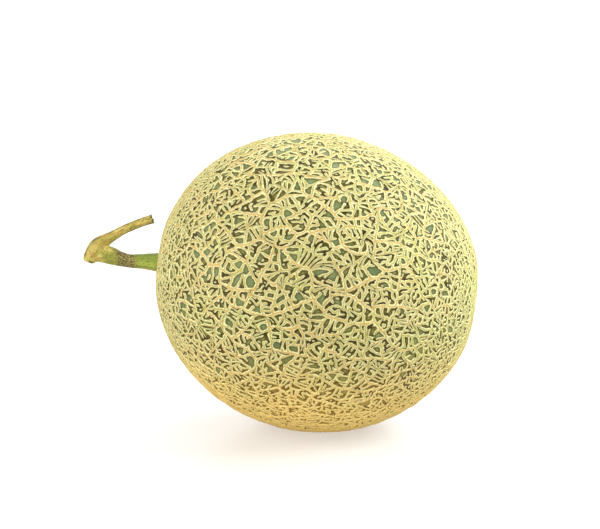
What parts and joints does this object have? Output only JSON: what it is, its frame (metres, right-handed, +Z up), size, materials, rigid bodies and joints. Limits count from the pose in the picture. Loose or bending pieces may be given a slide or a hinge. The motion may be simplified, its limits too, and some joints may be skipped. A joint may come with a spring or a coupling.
{
  "type": "netted cantaloupe melon",
  "caption": "Whole round netted melon lying on a small flat spot, with its short green stalk and a curved stub of vine.",
  "frame": {"origin": "centre of the small flat spot that the melon rests on", "axes": "+Z up, away from the surface it rests on; +X towards the blossom end, so the stalk points to -X"},
  "size_m": [0.1962, 0.1485, 0.1457],
  "materials": {
    "netted_rind": "matte, corky cream net over grey-green skin",
    "peduncle_green": "satin, fresh green stalk with brown specks",
    "vine_bark": "matte, yellow-olive vine drying to brown"
  },
  "bodies": {
    "root": {"fruit": "netted_rind", "peduncle": "peduncle_green", "vine_stub": "vine_bark"}
  },
  "joints": []
}
